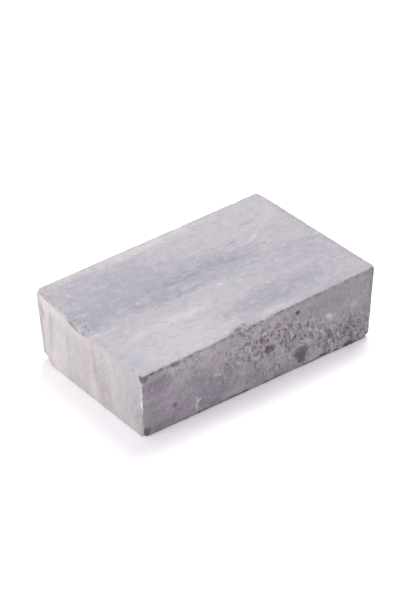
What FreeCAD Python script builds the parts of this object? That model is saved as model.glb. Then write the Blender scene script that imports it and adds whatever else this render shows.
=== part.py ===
"""Natural whetstone for carving tools: one sawn block of banded sedimentary stone.

The block is a single piece of rock. Its top is honed flat, its base and two ends are sawn, its back
is sawn a little out of square, and its long front is left as the rock split along the bedding, so
that it swells gently. Every arris is eased, the upright corners are rounded by different amounts,
and small shells have flaked off the arrises in use.

Frame: millimetres, +X along the length, +Y across the width from the split front to the back, +Z up.
The origin is the middle of the base.
"""

import FreeCAD
import Part
import math
import os

Vector = FreeCAD.Vector

# Driving dimensions of the block.
LENGTH = 102.8
WIDTH = 63.4
THICKNESS = 29.0        # at the middle
RISE_ALONG = 1.3        # how much thicker the +X end is than the -X end
RISE_ACROSS = 0.4       # how much thicker the back is than the front

# How far each upright corner stands in from the LENGTH by WIDTH rectangle, as (along, across), at the
# base and at the top, and its rounding there. The corners of the split front are broken off afterwards.
# Corners go round from the front of the -X end.
CORNERS = [
    {"end": -1, "side": -1, "base_in": (2.6, 2.6), "top_in": (0.2, 0.0)},
    {"end": +1, "side": -1, "base_in": (1.5, 0.0), "top_in": (0.0, 0.4)},
    {"end": +1, "side": +1, "base_in": (2.4, 1.5), "top_in": (1.6, 0.0), "base_round": 1.8, "top_round": 2.0},
    {"end": -1, "side": +1, "base_in": (1.9, 2.5), "top_in": (1.3, 0.3), "base_round": 2.0, "top_round": 1.6},
]
BASE_ARRIS = 0.8        # flat worn on the arrises round the base
TOP_ARRIS = 0.5         # flat worn on the arrises round the honed top

# The split front stands on the plane between its four corners and swells out of it or sinks into it
# in soft mounds: (x, z, spread along X, spread up Z, height outwards).
FRONT_ALLOWANCE = 1.8   # extra stone in front, which the split face takes away
SWELLS = [
    (-36.0, 27.0, 5.0, 11.0, 1.00),
    (-23.0, 28.0, 3.6, 8.0, 0.90),
    (3.5, 28.0, 5.5, 8.0, 0.75),
    (-26.0, 11.0, 11.0, 7.0, 0.35),
    (-7.0, 15.0, 6.0, 5.0, -0.45),
    (4.5, 14.5, 2.6, 2.6, -0.35),
    (19.5, 6.5, 4.2, 3.6, -0.60),
    (16.5, 24.5, 3.2, 3.4, -0.35),
    (29.0, 21.0, 6.0, 5.0, 0.35),
    (41.0, 8.0, 6.0, 4.5, 0.30),
]
SPLIT_STEPS_X = 46      # surface points along the split face
SPLIT_STEPS_Z = 15      # surface points up the split face
SPLIT_MARGIN = 6.0      # how far the cutting surface runs past the block
SPLIT_CUT_DEPTH = 12.0  # thickness of the cutting solid in front of the split face
FRONT_ARRIS = 0.35      # flat worn on the long arrises of the split face
FRONT_CORNERS = [0.5, 0.8]  # flat on each upright corner of the split face, at the -X end and the +X end

# Shells flaked off an arris or a corner: place on the sharp arris, the way the shell faces, its length
# along the arris, and its depth.
SHELLS = [
    {"at": (-50.7, 4.5, 28.4), "facing": (-0.6, 0.0, 0.8), "length": 15.0, "depth": 1.9},
    {"at": (-50.4, 18.0, 28.4), "facing": (-0.75, 0.0, 0.66), "length": 9.0, "depth": 0.8},
    {"at": (-50.1, 30.2, 28.5), "facing": (-0.55, 0.62, 0.56), "length": 5.5, "depth": 1.1},
    {"at": (-51.1, -31.6, 28.0), "facing": (-0.5, -0.6, 0.6), "length": 4.4, "depth": 1.0},
    {"at": (-9.0, -31.5, 28.7), "facing": (0.0, -0.6, 0.8), "length": 12.0, "depth": 1.2},
    {"at": (7.0, -31.5, 28.9), "facing": (0.1, -0.8, 0.6), "length": 6.0, "depth": 0.5},
    {"at": (-48.7, -29.0, 0.4), "facing": (-0.5, -0.65, -0.57), "length": 4.2, "depth": 1.0},
    {"at": (49.9, -31.5, 0.2), "facing": (0.5, -0.45, -0.74), "length": 8.0, "depth": 1.5},
    {"at": (29.0, -31.4, 0.0), "facing": (0.0, -0.65, -0.76), "length": 8.0, "depth": 0.7},
    {"at": (-49.4, 28.9, 0.2), "facing": (-0.55, 0.4, -0.73), "length": 13.0, "depth": 3.2},
    {"at": (49.8, 31.5, 29.6), "facing": (0.5, 0.6, 0.62), "length": 4.0, "depth": 0.8},
    {"at": (51.3, -31.2, 29.4), "facing": (0.45, -0.45, 0.77), "length": 4.0, "depth": 0.7},
    {"at": (50.8, 3.0, 29.4), "facing": (0.76, 0.0, 0.65), "length": 6.0, "depth": 0.35},
    {"at": (12.0, 31.5, 29.3), "facing": (0.0, 0.8, 0.6), "length": 8.0, "depth": 0.35},
    {"at": (-27.0, 30.0, 0.1), "facing": (0.0, 0.7, -0.71), "length": 11.0, "depth": 0.9},
    {"at": (49.7, 12.0, 0.2), "facing": (0.74, 0.0, -0.67), "length": 9.0, "depth": 0.8},
]


def top_height(x, y):
    """Height of the honed top, a plane that rises a little towards the back of the +X end."""
    return THICKNESS + RISE_ALONG * x / LENGTH + RISE_ACROSS * y / WIDTH


def corner_point(corner, level):
    """(x, y) of a sharp upright corner at the base or at the top."""
    along, across = corner[level + "_in"]
    return Vector(corner["end"] * (LENGTH / 2 - along), corner["side"] * (WIDTH / 2 - across), 0)


def moved_inwards(points, inset):
    """The same four corners with every side moved inwards, squarely to itself."""
    moved = []
    for i, point in enumerate(points):
        before = (point - points[i - 1]).normalize()
        after = (points[(i + 1) % 4] - point).normalize()
        normal_before = Vector(-before.y, before.x, 0)
        normal_after = Vector(-after.y, after.x, 0)
        share = inset / (1 + normal_before.dot(normal_after))
        moved.append(point + (normal_before + normal_after) * share)
    return moved


def outline(level, inset, height):
    """A closed wire round the block, with arcs at its rounded corners. height(x, y) lifts each point."""
    sharp = [corner_point(corner, level) for corner in CORNERS]
    points = moved_inwards(sharp, inset)
    front = Vector(0, -FRONT_ALLOWANCE, 0)
    points[0] += front
    points[1] += front

    def lifted(p):
        return Vector(p.x, p.y, height(p.x, p.y))

    turns = []  # the points at which the outline turns each corner: one, or the three of an arc
    for i, point in enumerate(points):
        radius = CORNERS[i].get(level + "_round")
        if radius is None:
            turns.append([lifted(point)])
            continue
        to_before = (points[i - 1] - point).normalize()
        to_after = (points[(i + 1) % 4] - point).normalize()
        half_angle = to_before.getAngle(to_after) / 2
        tangent = radius / math.tan(half_angle)
        middle = point + (to_before + to_after).normalize() * (radius / math.sin(half_angle) - radius)
        turns.append([lifted(p) for p in (point + to_before * tangent, middle, point + to_after * tangent)])
    edges = []
    for i, turn in enumerate(turns):
        if len(turn) > 1:
            edges.append(Part.Arc(*turn).toShape())
        edges.append(Part.LineSegment(turn[-1], turns[(i + 1) % 4][0]).toShape())
    return Part.Wire(edges)


def block():
    """The sawn block, lofted from the base to the top, with the eased arrises as its end bands."""
    sections = [
        outline("base", BASE_ARRIS, lambda x, y: 0.0),
        outline("base", 0.0, lambda x, y: BASE_ARRIS),
        outline("top", 0.0, lambda x, y: top_height(x, y) - TOP_ARRIS),
        outline("top", TOP_ARRIS, top_height),
    ]
    return Part.makeLoft(sections, True, True)


def split_face_y(x, z):
    """Y of the split front: the ruled plane between its four corners, less the swells."""
    along = x / LENGTH + 0.5
    up = z / THICKNESS
    near, far = CORNERS[0], CORNERS[1]
    at_base = -WIDTH / 2 + near["base_in"][1] * (1 - along) + far["base_in"][1] * along
    at_top = -WIDTH / 2 + near["top_in"][1] * (1 - along) + far["top_in"][1] * along
    swell = sum(
        height * math.exp(-(((x - x0) / spread_x) ** 2) - ((z - z0) / spread_z) ** 2)
        for x0, z0, spread_x, spread_z, height in SWELLS
    )
    return at_base * (1 - up) + at_top * up - swell


def front_waste():
    """The stone in front of the split face, which comes away when the rock is split."""
    x_low, x_high = -LENGTH / 2 - SPLIT_MARGIN, LENGTH / 2 + SPLIT_MARGIN
    z_low, z_high = -SPLIT_MARGIN, THICKNESS + SPLIT_MARGIN
    rows = []
    for i in range(SPLIT_STEPS_X + 1):
        x = x_low + (x_high - x_low) * i / SPLIT_STEPS_X
        heights = [z_low + (z_high - z_low) * k / SPLIT_STEPS_Z for k in range(SPLIT_STEPS_Z + 1)]
        rows.append([Vector(x, split_face_y(x, z), z) for z in heights])
    surface = Part.BSplineSurface()
    surface.interpolate(rows)
    return surface.toShape().extrude(Vector(0, -SPLIT_CUT_DEPTH, 0))


def split_face(stone):
    """The face of the split front."""
    return min((face for face in stone.Faces if face.Area > LENGTH), key=lambda face: face.CenterOfMass.y)


def shell_cutter(shell):
    """A ball whose cap, of the shell's length and depth, dips into the arris."""
    half = shell["length"] / 2
    depth = shell["depth"]
    radius = (half * half + depth * depth) / (2 * depth)
    outwards = Vector(*shell["facing"]).normalize()
    return Part.makeSphere(radius, Vector(*shell["at"]) + outwards * (radius - depth))


def eased_front(stone):
    """The stone with the upright corners and the long arrises of its split face worn to narrow flats."""
    for end, flat in zip((-1, 1), FRONT_CORNERS):
        upright = [edge for edge in split_face(stone).Edges if edge.Length < LENGTH / 2]
        corner = max(upright, key=lambda edge: end * edge.CenterOfMass.x)
        stone = stone.makeChamfer(flat, [corner])
    long_arrises = [edge for edge in split_face(stone).Edges if edge.Length > LENGTH / 2]
    return stone.makeChamfer(FRONT_ARRIS, long_arrises)


def whetstone():
    """The finished stone, stood on z = 0 with its box centred on the origin."""
    stone = eased_front(block().cut(front_waste()).Solids[0])
    for shell in SHELLS:
        stone = stone.cut(shell_cutter(shell))
    box = stone.optimalBoundingBox(False, False)
    stone.translate(Vector(-box.Center.x, -box.Center.y, -box.ZMin))
    return stone.Solids[0]


def main():
    os.makedirs("parts", exist_ok=True)
    stone = whetstone()
    stone.exportStep("parts/whetstone.step")
    box = stone.optimalBoundingBox(False, False)
    print("whetstone", "valid" if stone.isValid() else "NOT VALID", len(stone.Faces), "faces")
    print(f"box {box.XLength:.2f} x {box.YLength:.2f} x {box.ZLength:.2f} mm, {stone.Volume / 1000:.1f} cm3")


main()
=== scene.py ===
"""Natural whetstone for carving tools, one block of lavender-grey banded stone, on a pale floor.

The stone is one closed mesh, worked out in millimetres and stored in metres. Its top is honed, its two
ends, back and base are sawn, and its long front is the face along which the rock split.
"""

import math

import bpy
import numpy as np
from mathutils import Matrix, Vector


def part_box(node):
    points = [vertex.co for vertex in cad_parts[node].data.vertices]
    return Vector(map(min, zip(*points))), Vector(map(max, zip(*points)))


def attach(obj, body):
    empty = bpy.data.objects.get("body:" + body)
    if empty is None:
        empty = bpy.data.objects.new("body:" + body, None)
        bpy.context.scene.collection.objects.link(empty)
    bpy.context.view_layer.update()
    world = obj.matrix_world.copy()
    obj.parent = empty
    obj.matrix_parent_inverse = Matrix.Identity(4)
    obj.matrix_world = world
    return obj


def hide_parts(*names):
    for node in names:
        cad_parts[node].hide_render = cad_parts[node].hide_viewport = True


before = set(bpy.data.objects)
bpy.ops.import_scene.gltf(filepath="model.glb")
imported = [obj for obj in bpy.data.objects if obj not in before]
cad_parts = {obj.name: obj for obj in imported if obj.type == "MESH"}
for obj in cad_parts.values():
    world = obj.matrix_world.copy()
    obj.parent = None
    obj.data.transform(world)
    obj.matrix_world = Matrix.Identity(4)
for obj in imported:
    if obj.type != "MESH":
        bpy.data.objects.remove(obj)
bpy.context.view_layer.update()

MM = 0.001

# ---------------------------------------------------------------- the block, in millimetres

LENGTH = 102.8
WIDTH = 63.4
THICKNESS = 29.0
RISE_ALONG = 1.3        # how much thicker the +X end is than the -X end
RISE_ACROSS = 0.4       # how much thicker the back is than the front

# Upright corners, going round from the front of the -X end: (x, y) at the base and at the top.
BASE_CORNERS = np.array([(-48.8, -29.1), (49.9, -31.7), (49.0, 30.2), (-49.5, 29.2)])
TOP_CORNERS = np.array([(-51.2, -31.7), (51.4, -31.3), (49.8, 31.7), (-50.1, 31.4)])
BASE_ROUNDING = np.array([0.9, 1.0, 1.8, 2.0])
TOP_ROUNDING = np.array([0.5, 0.6, 2.0, 1.6])
SIDES = ("front", "far end", "back", "near end")

TOP_ARRIS = 0.42        # rounding of the arrises round the honed top
BASE_ARRIS = 0.75       # rounding of the arrises round the base
ARRIS_CRUMBLE = 0.28    # how much that rounding comes and goes along an arris
CRUMBLE_SIZE = 2.2      # length of one crumbled stretch

# Mounds and hollows of the split front: (x, z, spread along X, spread up Z, height outwards).
SWELLS = [
    (-36.0, 27.0, 5.0, 11.0, 1.00),
    (-23.0, 28.0, 3.6, 8.0, 0.90),
    (3.5, 28.0, 5.5, 8.0, 0.75),
    (-26.0, 11.0, 11.0, 7.0, 0.35),
    (-7.0, 15.0, 6.0, 5.0, -0.45),
    (4.5, 14.5, 2.6, 2.6, -0.35),
    (19.5, 6.5, 4.2, 3.6, -0.60),
    (16.5, 24.5, 3.2, 3.4, -0.35),
    (29.0, 21.0, 6.0, 5.0, 0.35),
    (41.0, 8.0, 6.0, 4.5, 0.30),
]

# Where the split front is torn and granular: (x, z, reach along X, reach up Z, turn in degrees, strength).
TORN_ZONES = [
    (2.0, 19.0, 12.0, 8.0, -12.0, 1.0),
    (17.0, 15.5, 12.0, 6.5, -22.0, 0.95),
    (37.0, 7.5, 14.0, 6.0, 0.0, 0.95),
    (-3.0, 26.0, 9.0, 3.4, 0.0, 0.7),
    (-10.5, 17.0, 6.0, 7.5, 0.0, 0.6),
    (-17.5, 12.5, 5.0, 4.5, 0.0, 0.35),
    (11.0, 7.0, 13.0, 6.5, 0.0, 0.5),
    (-36.0, 26.0, 12.0, 2.0, -6.0, 0.35),
]

TORN_EDGE = 0.6         # softness of a torn zone's edge, as a share of its reach
TORN_WANDER = 3.2       # how far that edge strays
TORN_WANDER_SIZE = 4.5  # length of one stray stretch
TORN_DEPTH = 0.42       # height of the torn crests above the middle of the relief
TORN_GRAIN = (2.1, 3.0, 3.2)  # size of one torn crest along X, Y and Z
TORN_LEAN = 0.45        # how far the crests lean along +X per millimetre up
CREST_LEVEL = 0.42      # crest value on a fold of the noise
CREST_SHARPNESS = 2.8   # how fast the crest value falls away from a fold
LEAST_TORN = 0.15       # share of the torn relief that the rest of the front has

RIPPLE_HEIGHT, RIPPLE_SIZE = 0.08, (7.0, 7.0, 5.0)
FRONT_GRAIN_HEIGHT, FRONT_GRAIN_SIZE = 0.05, 1.3
BED_HEIGHT, BED_SIZE = 0.10, (60.0, 3.2, 24.0)
BACK_SHARE = 1.2        # relief of the back against that of the ends
SAWN_GRAIN_HEIGHT, SAWN_GRAIN_SIZE = 0.035, 1.6
HONED_WAVE_HEIGHT, HONED_WAVE_SIZE = 0.03, (14.0, 8.0, 8.0)
DISH_DEPTH, DISH_REACH = 0.06, 34.0

# Shells flaked off an arris: (place on the sharp arris, the way the shell faces, length, depth).
SHELLS = [
    ((-50.7, 4.5, 28.4), (-0.6, 0.0, 0.8), 15.0, 1.9),
    ((-50.4, 18.0, 28.4), (-0.75, 0.0, 0.66), 9.0, 0.8),
    ((-50.1, 30.2, 28.5), (-0.55, 0.62, 0.56), 5.5, 1.1),
    ((-51.1, -31.6, 28.0), (-0.5, -0.6, 0.6), 4.4, 1.0),
    ((-9.0, -31.5, 28.7), (0.0, -0.6, 0.8), 12.0, 1.2),
    ((7.0, -31.5, 28.9), (0.1, -0.8, 0.6), 6.0, 0.5),
    ((-48.7, -29.0, 0.4), (-0.5, -0.65, -0.57), 4.2, 1.0),
    ((49.9, -31.5, 0.2), (0.5, -0.45, -0.74), 8.0, 1.5),
    ((29.0, -31.4, 0.0), (0.0, -0.65, -0.76), 8.0, 0.7),
    ((-49.4, 28.9, 0.2), (-0.55, 0.4, -0.73), 13.0, 3.2),
    ((49.8, 31.5, 29.6), (0.5, 0.6, 0.62), 4.0, 0.8),
    ((51.3, -31.2, 29.4), (0.45, -0.45, 0.77), 4.0, 0.7),
    ((50.8, 3.0, 29.4), (0.76, 0.0, 0.65), 6.0, 0.35),
    ((12.0, 31.5, 29.3), (0.0, 0.8, 0.6), 8.0, 0.35),
    ((-27.0, 30.0, 0.1), (0.0, 0.7, -0.71), 11.0, 0.9),
    ((49.7, 12.0, 0.2), (0.74, 0.0, -0.67), 9.0, 0.8),
]
NICKS = 90              # small nicks scattered along all arrises
NICK_LENGTH = (0.9, 3.2)
NICK_DEPTH = (0.15, 0.5)
NICK_SPREAD = (0.02, 0.98)  # share of an arris's length at which a nick may lie
NICK_LEAN = (0.4, 0.9)      # how far a nick faces sideways, against straight up or down
CHIP_ROUGHNESS = 0.16   # height of the grain in shells and nicks
CHIP_GRAIN = 1.5        # size of that grain
FULL_CHIP = 0.25        # missing depth at which a place counts as wholly chipped
ARRIS_REACH = 1.6       # distance from an arris at which its wear ends

NOISE_CELLS = 48        # random values along each side of a noise's lattice, which then repeats
NOISE_SHIFT = 100.37    # keeps the block away from the lattice's own corner
SEEDS = {
    "torn edge": (11, 14, 17), "ripple": 21, "crests": 31, "front grain": 41, "honed": 61,
    "back": 71, "near end": 81, "far end": 91, "crumble": 101, "chip grain": 111, "nicks": 7,
}

# The mesh lattice.
STEPS = (0.41, 0.85, 0.41)  # spacing on the faces along X, Y and Z, close enough for the split front
ARRIS_LINES = (0.0, 0.13, 0.28, 0.46, 0.70, 1.02, 1.45)  # distances of the close lines by each arris
CORE_DEPTH = 8.0        # how deep inside the block the rays start
RAY_OVERSHOOT = 2.0     # how far past the sharp block the rays reach
HALVINGS = 20           # steps of the search along each ray


def top_height(x, y):
    """Height of the honed top: a plane rising a little along +X and +Y."""
    return THICKNESS + RISE_ALONG * x / LENGTH + RISE_ACROSS * y / WIDTH


def block_point(s, t, u):
    """Point of the sharp block: its eight corners blended along s, across t and up u, each from 0 to 1."""
    s, t, u = s[:, None], t[:, None], u[:, None]
    plan = []
    for corners in (BASE_CORNERS, TOP_CORNERS):
        front = corners[0] * (1 - s) + corners[1] * s
        back = corners[3] * (1 - s) + corners[2] * s
        plan.append(front * (1 - t) + back * t)
    xy = plan[0] * (1 - u) + plan[1] * u
    z = u * top_height(plan[1][:, :1], plan[1][:, 1:])
    return np.hstack([xy, z])


def rock_noise(points, size, seed):
    """Random values from -1 to 1, one at each corner of a lattice of cells of the given size, blended
    between the corners with weights eased by 3t^2 - 2t^3."""
    table = np.random.default_rng(seed).uniform(-1.0, 1.0, (NOISE_CELLS,) * 3)
    place = points / np.asarray(size, float) + NOISE_SHIFT
    cell = np.floor(place).astype(int)
    part = place - cell
    part = part * part * (3 - 2 * part)
    total = 0.0
    for corner in np.ndindex(2, 2, 2):
        i, j, k = ((cell + corner) % NOISE_CELLS).T
        weight = np.prod(np.where(corner, part, 1 - part), axis=1)
        total = total + weight * table[i, j, k]
    return total


def layered_noise(points, size, seed, layers=3, fade=0.5):
    """Sum of rock noises, each half the size and `fade` the strength of the last, scaled to about -1 to 1."""
    sizes = np.asarray(size, float)
    total = sum(fade**n * rock_noise(points, sizes / 2**n, seed + n) for n in range(layers))
    return total / sum(fade**n for n in range(layers))


def ellipse_mask(x, z, zone):
    """The zone's strength inside a turned ellipse, falling to 0 across its edge, eased by 3t^2 - 2t^3."""
    x0, z0, reach_x, reach_z, turn, strength = zone
    c, s = math.cos(math.radians(turn)), math.sin(math.radians(turn))
    along = (x - x0) * c + (z - z0) * s
    up = (z - z0) * c - (x - x0) * s
    distance = np.hypot(along / reach_x, up / reach_z)
    step = np.clip((1 + TORN_EDGE - distance) / (2 * TORN_EDGE), 0, 1)
    return strength * step * step * (3 - 2 * step)


def torn_strength(p):
    """How torn the split front is at each point: the strongest of the torn zones, with a ragged edge."""
    stray = [layered_noise(p, TORN_WANDER_SIZE, seed, fade=0.7) for seed in SEEDS["torn edge"]]
    ragged = p + TORN_WANDER * np.stack(stray, axis=1)
    return np.max([ellipse_mask(ragged[:, 0], ragged[:, 2], zone) for zone in TORN_ZONES], axis=0)


def front_relief(p):
    """Relief of the split front, how torn it is, and its crests. The relief is the soft swells, a slight
    ripple and grain everywhere, and in the torn zones sharp crests with gaps between them, made by folding
    layered noise at zero. A crest value is above 0 on a crest and below 0 in a gap."""
    x, z = p[:, 0], p[:, 2]
    swell = sum(
        height * np.exp(-(((x - x0) / spread_x) ** 2) - ((z - z0) / spread_z) ** 2)
        for x0, z0, spread_x, spread_z, height in SWELLS
    )
    ripple = RIPPLE_HEIGHT * layered_noise(p, RIPPLE_SIZE, SEEDS["ripple"])
    grain = FRONT_GRAIN_HEIGHT * layered_noise(p, FRONT_GRAIN_SIZE, SEEDS["front grain"], layers=2)
    leaning = p + np.outer(p[:, 2], (TORN_LEAN, 0.0, 0.0))
    folded = layered_noise(leaning, TORN_GRAIN, SEEDS["crests"], fade=0.75)
    crest = CREST_LEVEL - CREST_SHARPNESS * np.abs(folded)
    torn = torn_strength(p)
    share = LEAST_TORN + (1 - LEAST_TORN) * torn
    return swell + ripple + grain + TORN_DEPTH * share * np.clip(crest, -1, 1), torn, crest * share


def sawn_relief(p, seed):
    """Relief of a sawn face: beds that stand out or weather back a little, stretched along +X and up, and
    a faint grain."""
    beds = BED_HEIGHT * layered_noise(p, BED_SIZE, seed)
    return beds + SAWN_GRAIN_HEIGHT * layered_noise(p, SAWN_GRAIN_SIZE, seed + 5, layers=2)


def honed_relief(p):
    """Relief of the honed top: worn almost flat, dished by a hair in the middle of its length."""
    wave = HONED_WAVE_HEIGHT * layered_noise(p, HONED_WAVE_SIZE, SEEDS["honed"], layers=2)
    return wave - DISH_DEPTH * np.exp(-((p[:, 0] / DISH_REACH) ** 2))


def eased_meeting(a, b, radius):
    """The larger of two distances, with a quarter circle of the given radius where the two surfaces meet."""
    corner = np.hypot(np.maximum(a + radius, 0), np.maximum(b + radius, 0))
    return np.minimum(-radius, np.maximum(a, b)) + corner


def side_distances(p):
    """Distance outwards from each of the four sides, whose lines run between the corners at p's height."""
    up = np.clip(p[:, 2] / top_height(p[:, 0], p[:, 1]), -0.1, 1.1)[:, None, None]
    corners = BASE_CORNERS * (1 - up) + TOP_CORNERS * up
    distances = []
    for i in range(4):
        start, end = corners[:, i], corners[:, (i + 1) % 4]
        run = (end - start) / np.linalg.norm(end - start, axis=1)[:, None]
        gap = p[:, :2] - start
        distances.append(gap[:, 0] * run[:, 1] - gap[:, 1] * run[:, 0])
    return distances


def whole_distance(p, relief, crumble):
    """Distance outwards from the stone before anything chipped off it: its sides eased into each other at
    the upright corners, then into the top and the base at the arrises."""
    up = np.clip(p[:, 2] / THICKNESS, 0, 1)
    sides = [distance - relief[name] for distance, name in zip(side_distances(p), SIDES)]
    walls = np.max(
        [
            eased_meeting(sides[i - 1], sides[i], BASE_ROUNDING[i] * (1 - up) + TOP_ROUNDING[i] * up)
            for i in range(4)
        ],
        axis=0,
    )
    top = p[:, 2] - top_height(p[:, 0], p[:, 1]) - relief["top"]
    base = -p[:, 2] - relief["base"]
    eased_top = eased_meeting(walls, top, TOP_ARRIS + crumble)
    eased_base = eased_meeting(walls, base, BASE_ARRIS + crumble)
    return np.maximum(eased_top, eased_base)


def shell_balls():
    """Balls whose caps dip into the arrises: (centre, radius) of each named shell and scattered nick. A cap
    of length l and depth d belongs to a ball of radius (l^2 / 4 + d^2) / 2d."""
    chips = [(np.array(place), np.array(facing), length, depth) for place, facing, length, depth in SHELLS]
    random = np.random.default_rng(SEEDS["nicks"])
    loops = [(TOP_CORNERS, 1.0), (BASE_CORNERS, 0.0)]
    for _ in range(NICKS):
        corners, level = loops[random.integers(2)]
        i = random.integers(4)
        blend = random.uniform(*NICK_SPREAD)
        xy = corners[i] * (1 - blend) + corners[(i + 1) % 4] * blend
        run = corners[(i + 1) % 4] - corners[i]
        outwards = np.array([run[1], -run[0], 0.0]) / np.linalg.norm(run)
        outwards = outwards * random.uniform(*NICK_LEAN) + np.array([0, 0, 1.0 if level else -1.0])
        place = np.array([xy[0], xy[1], level * top_height(*xy)])
        chips.append((place, outwards, random.uniform(*NICK_LENGTH), random.uniform(*NICK_DEPTH)))
    balls = []
    for place, facing, length, depth in chips:
        radius = (length * length / 4 + depth * depth) / (2 * depth)
        balls.append((place + facing / np.linalg.norm(facing) * (radius - depth), radius))
    return balls


def chipped_distance(p, whole, balls, roughness):
    """Distance outwards from the chipped stone: the whole stone less the balls, whose skins are rough."""
    distance = whole
    for centre, radius in balls:
        inside = radius + roughness - np.linalg.norm(p - centre, axis=1)
        distance = np.maximum(distance, inside)
    return distance


def lattice_lines(extent, step):
    """Positions from 0 to 1 along one edge of the block: close lines by each arris, then even ones."""
    first = ARRIS_LINES[-1] + step
    count = round((extent - 2 * first) / step)
    even = np.linspace(first, extent - first, count + 1)
    near = np.array(ARRIS_LINES)
    return np.concatenate([near, even, extent - near[::-1]]) / extent


def block_lattice():
    """The skin of a box lattice: for each lattice point its (i, j, k), and the quads of the six faces, each
    a two-way grid of points, wound to face outwards. Faces share the points of their arrises."""
    lines = [lattice_lines(extent, step) for extent, step in zip((LENGTH, WIDTH, THICKNESS), STEPS)]
    counts = [len(line) for line in lines]
    faces = [
        ("near end", 0, 0), ("far end", 0, counts[0] - 1),
        ("front", 1, 0), ("back", 1, counts[1] - 1),
        ("base", 2, 0), ("top", 2, counts[2] - 1),
    ]
    quads, names = [], []
    for name, axis, fixed in faces:
        first, second = (axis + 1) % 3, (axis + 2) % 3
        a, b = np.meshgrid(np.arange(counts[first]), np.arange(counts[second]), indexing="ij")
        index = [None, None, None]
        index[axis], index[first], index[second] = np.full_like(a, fixed), a, b
        code = np.ravel_multi_index(index, counts)
        corners = [code[:-1, :-1], code[1:, :-1], code[1:, 1:], code[:-1, 1:]]
        if fixed == 0:
            corners.reverse()
        quads.append(np.stack(corners, axis=-1).reshape(-1, 4))
        names.append(np.full(len(quads[-1]), name))
    used, renumbered = np.unique(np.concatenate(quads), return_inverse=True)
    index = np.unravel_index(used, counts)
    share = np.stack([lines[axis][index[axis]] for axis in range(3)], axis=1)
    return share, renumbered.reshape(-1, 4), np.concatenate(names)


def whetstone_shape():
    """Points, quads, face names and surface values of the finished stone. Each lattice point starts on the
    sharp block, and slides along the ray from the block's core to where the chipped distance is zero. Chip
    is how deep the stone is missing, and arris falls from 1 at an arris to 0 on the open face."""
    share, quads, names = block_lattice()
    extents = np.array([LENGTH, WIDTH, THICKNESS])
    sharp = block_point(*share.T)
    margin = CORE_DEPTH / extents
    core = block_point(*np.clip(share, margin, 1 - margin).T)
    ray = sharp - core
    reach = np.linalg.norm(ray, axis=1)
    ray = ray / reach[:, None]

    front, torn, crest = front_relief(sharp)
    relief = {
        "front": front,
        "back": sawn_relief(sharp, SEEDS["back"]) * BACK_SHARE,
        "near end": sawn_relief(sharp, SEEDS["near end"]),
        "far end": sawn_relief(sharp, SEEDS["far end"]),
        "top": honed_relief(sharp),
        "base": np.zeros(len(sharp)),
    }
    crumble = ARRIS_CRUMBLE * layered_noise(sharp, CRUMBLE_SIZE, SEEDS["crumble"])
    roughness = CHIP_ROUGHNESS * layered_noise(sharp, CHIP_GRAIN, SEEDS["chip grain"])
    balls = shell_balls()

    inner, outer = np.zeros(len(sharp)), reach + RAY_OVERSHOOT
    for _ in range(HALVINGS):
        middle = (inner + outer) / 2
        p = core + ray * middle[:, None]
        inside = chipped_distance(p, whole_distance(p, relief, crumble), balls, roughness) < 0
        inner = np.where(inside, middle, inner)
        outer = np.where(inside, outer, middle)
    points = core + ray * inner[:, None]

    missing = -whole_distance(points, relief, crumble)
    to_faces = np.sort(np.minimum(share, 1 - share) * extents, axis=1)
    values = {
        "chip": np.clip(missing / FULL_CHIP, 0, 1),
        "arris": np.clip(1 - to_faces[:, 1] / ARRIS_REACH, 0, 1),
        "torn": torn,
        "crest": crest,
    }
    return points, quads, names, values


def fitted(points, low, high):
    """The points moved and scaled by a hair, each way on its own, so that they just fill the given box."""
    own_low, own_high = points.min(axis=0), points.max(axis=0)
    return low + (points - own_low) * (high - low) / (own_high - own_low)


# ---------------------------------------------------------------- node helpers

NOWHERE = UNTURNED = (0.0, 0.0, 0.0)
WHOLE = (1.0, 1.0, 1.0)
MIDDLE_NOISE = (0.5, 0.5, 0.5)

# Levels of a noise or a value at which a thing begins to show, and at which it shows in full.
DARK_BEDS, PALE_BEDS = (0.42, 0.25), (0.56, 0.74)
DARK_CLOUDS, PALE_CLOUDS = (0.46, 0.24), (0.54, 0.78)
DARK_GRAIN, PALE_GRAIN = (0.50, 0.28), (0.50, 0.72)
LIT_CRESTS, SHADED_GAPS = (0.05, 0.40), (-0.30, -1.20)
PATCHES, WORN_AND_LIT, PORES, FRESH_STONE = (0.50, 0.72), (0.2, 0.5), (0.60, 0.70), (0.30, 0.60)
FLECK_SHIFT = 7.3       # keeps each set of flecks clear of the last
ROUGHNESS_CHANGE = 0.08  # most that wear or clouds change the roughness


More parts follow.
